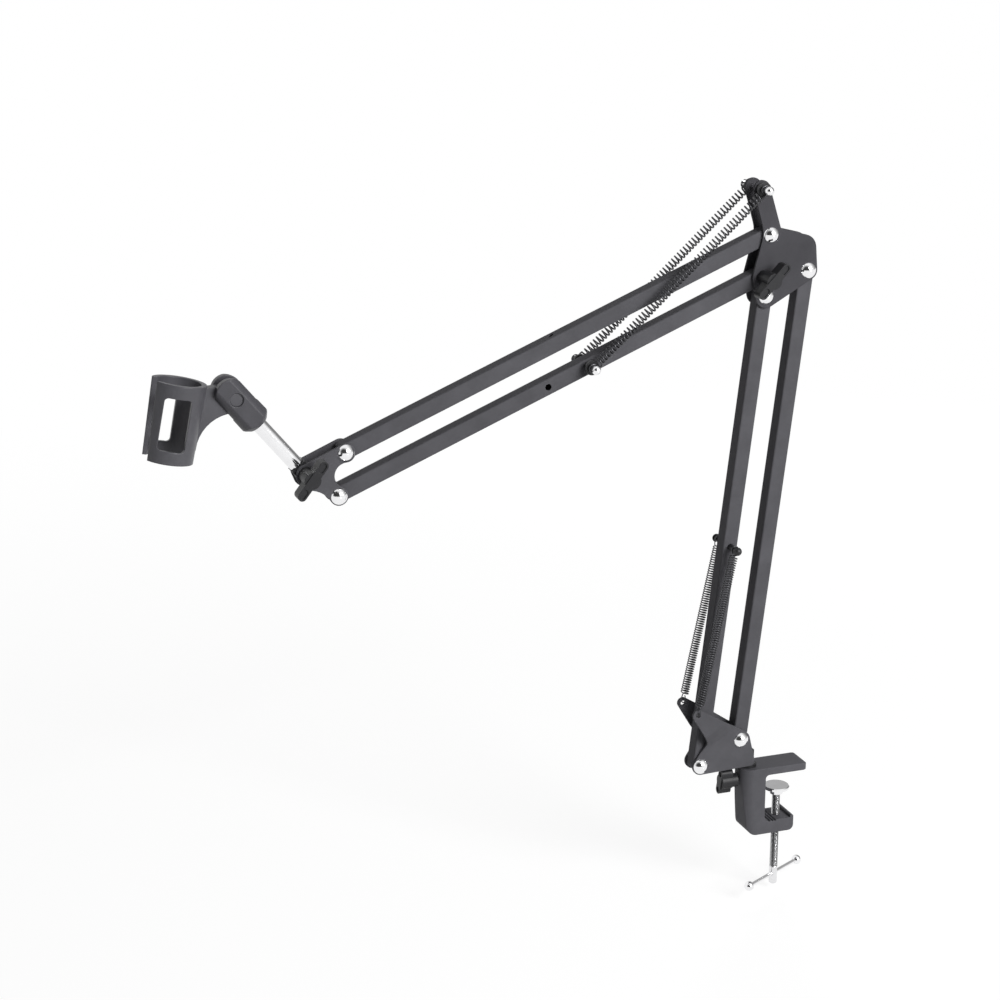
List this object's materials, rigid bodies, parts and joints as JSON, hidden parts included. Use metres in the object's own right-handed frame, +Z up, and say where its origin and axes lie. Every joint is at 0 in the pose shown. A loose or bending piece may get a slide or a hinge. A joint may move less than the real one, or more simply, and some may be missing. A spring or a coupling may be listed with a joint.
{
  "type": "microphone suspension arm",
  "caption": "Desk-clamped scissor arm for a microphone: spring-balanced double-bar post and boom, tilting chrome rod and a slotted plastic mic clip.",
  "frame": {"origin": "underside of the clamp's upper jaw, on the clamp screw's axis", "axes": "+Z up, the arms lie in the XZ plane with the boom and the clip towards -X, +Y across the bars"},
  "size_m": [0.4841, 0.047, 0.5247],
  "materials": {
    "arm_paint": "satin black powder coat",
    "clamp_paint": "satin dark grey powder coat on a casting",
    "bright_metal": "bright nickel and chrome plate",
    "black_steel": "black oxide",
    "spring_steel": "dark oiled spring wire",
    "knob_plastic": "moulded black plastic",
    "clip_plastic": "moulded dark grey plastic"
  },
  "bodies": {
    "clamp": {"clamp_body": "clamp_paint"},
    "pad": {"pressure_pad": "bright_metal"},
    "screw": {"clamp_screw": "bright_metal"},
    "tommy": {"tommy_bar": "bright_metal", "tommy_bar_balls": "bright_metal"},
    "swivel_lock": {"swivel_lock_knob": "knob_plastic", "swivel_lock_stud": "bright_metal"},
    "base": {"swivel_spigot": "black_steel", "base_plate_front": "arm_paint", "base_plate_back": "arm_paint", "base_pivot_bolts": "bright_metal", "base_pivot_nuts": "bright_metal", "post_spring_front": "spring_steel", "post_spring_back": "spring_steel"},
    "post_left": {"post_bar_left": "arm_paint", "post_spring_pin": "black_steel"},
    "post_right": {"post_bar_right": "arm_paint"},
    "elbow": {"elbow_plate_front": "arm_paint", "elbow_plate_back": "arm_paint", "elbow_pivot_bolts": "bright_metal", "elbow_pivot_nuts": "bright_metal", "horn_spring_pin": "bright_metal", "horn_pin_spacers": "black_steel", "elbow_knob_stud": "bright_metal", "boom_spring_front": "spring_steel", "boom_spring_back": "spring_steel"},
    "elbow_knob": {"elbow_knob": "knob_plastic"},
    "boom_upper": {"boom_bar_upper": "arm_paint"},
    "boom_lower": {"boom_bar_lower": "arm_paint", "boom_spring_pin": "bright_metal", "boom_pin_spacers": "black_steel"},
    "front": {"front_plate_front": "arm_paint", "front_plate_back": "arm_paint", "front_pivot_bolts": "bright_metal", "front_pivot_nuts": "bright_metal", "front_knob_stud": "bright_metal"},
    "front_knob": {"front_knob": "knob_plastic"},
    "rod": {"rod_hub": "knob_plastic", "mic_rod": "bright_metal", "clip_knuckle": "clip_plastic", "clip_pivot_screw": "clip_plastic", "clip_pivot_nut": "clip_plastic"},
    "clip": {"clip_body": "clip_plastic"}
  },
  "joints": [
    {"name": "pad_slide", "type": "slide", "parent": "clamp", "child": "pad", "axis": [0, 0, 1], "range_m": [-0.016, 0.0132]},
    {"name": "screw_turn", "type": "hinge", "parent": "pad", "child": "screw", "pos_m": [0, 0, 0], "axis": [0, 0, 1], "range_deg": [-5760, 4752]},
    {"name": "tommy_slide", "type": "slide", "parent": "screw", "child": "tommy", "axis": [0.8829, 0.4695, 0], "range_m": [-0.022, 0.022]},
    {"name": "swivel_lock_turn", "type": "hinge", "parent": "clamp", "child": "swivel_lock", "pos_m": [-0.0326, 0, -0.0046], "axis": [-1, 0, 0], "range_deg": [0, 360]},
    {"name": "base_swivel", "type": "hinge", "parent": "clamp", "child": "base", "pos_m": [-0.0243, 0, 0], "axis": [0, 0, 1], "continuous": true},
    {"name": "post_lean", "type": "hinge", "parent": "base", "child": "post_left", "pos_m": [-0.065, 0, 0.0132], "axis": [0, 1, 0], "range_deg": [-40, 15], "deforming": ["post_spring_front", "post_spring_back"]},
    {"name": "post_right_lean", "type": "hinge", "parent": "base", "child": "post_right", "pos_m": [-0.0337, 0, 0.0292], "axis": [0, 1, 0], "range_deg": [-40, 15]},
    {"name": "elbow_level", "type": "hinge", "parent": "post_left", "child": "elbow", "pos_m": [-0.02565, 0, 0.35333], "axis": [0, 1, 0], "range_deg": [-15, 40]},
    {"name": "elbow_knob_turn", "type": "hinge", "parent": "elbow", "child": "elbow_knob", "pos_m": [-0.02855, 0, 0.36658], "axis": [0, -1, 0], "range_deg": [0, 360]},
    {"name": "boom_tilt", "type": "hinge", "parent": "elbow", "child": "boom_upper", "pos_m": [-0.02335, 0, 0.39523], "axis": [0, 1, 0], "range_deg": [-22, 60]},
    {"name": "boom_lower_tilt", "type": "hinge", "parent": "elbow", "child": "boom_lower", "pos_m": [-0.02855, 0, 0.36658], "axis": [0, 1, 0], "range_deg": [-22, 60], "deforming": ["boom_spring_front", "boom_spring_back"]},
    {"name": "front_level", "type": "hinge", "parent": "boom_upper", "child": "front", "pos_m": [-0.32444, 0, 0.27027], "axis": [0, 1, 0], "range_deg": [-60, 22]},
    {"name": "front_knob_turn", "type": "hinge", "parent": "front", "child": "front_knob", "pos_m": [-0.35154, 0, 0.25842], "axis": [0, -1, 0], "range_deg": [0, 360]},
    {"name": "rod_tilt", "type": "hinge", "parent": "front", "child": "rod", "pos_m": [-0.35154, 0, 0.25842], "axis": [0, 1, 0], "range_deg": [-75, 40]},
    {"name": "clip_tilt", "type": "hinge", "parent": "rod", "child": "clip", "pos_m": [-0.39559, 0, 0.31166], "axis": [0, 1, 0], "range_deg": [-40, 75]}
  ],
  "couplings": [
    {"joint": "pad_slide", "follows": "screw_turn", "m_per_rad": 0.00015915},
    {"joint": "post_right_lean", "follows": "post_lean", "ratio": 1},
    {"joint": "elbow_level", "follows": "post_lean", "ratio": -1},
    {"joint": "boom_lower_tilt", "follows": "boom_tilt", "ratio": 1},
    {"joint": "front_level", "follows": "boom_tilt", "ratio": -1}
  ]
}
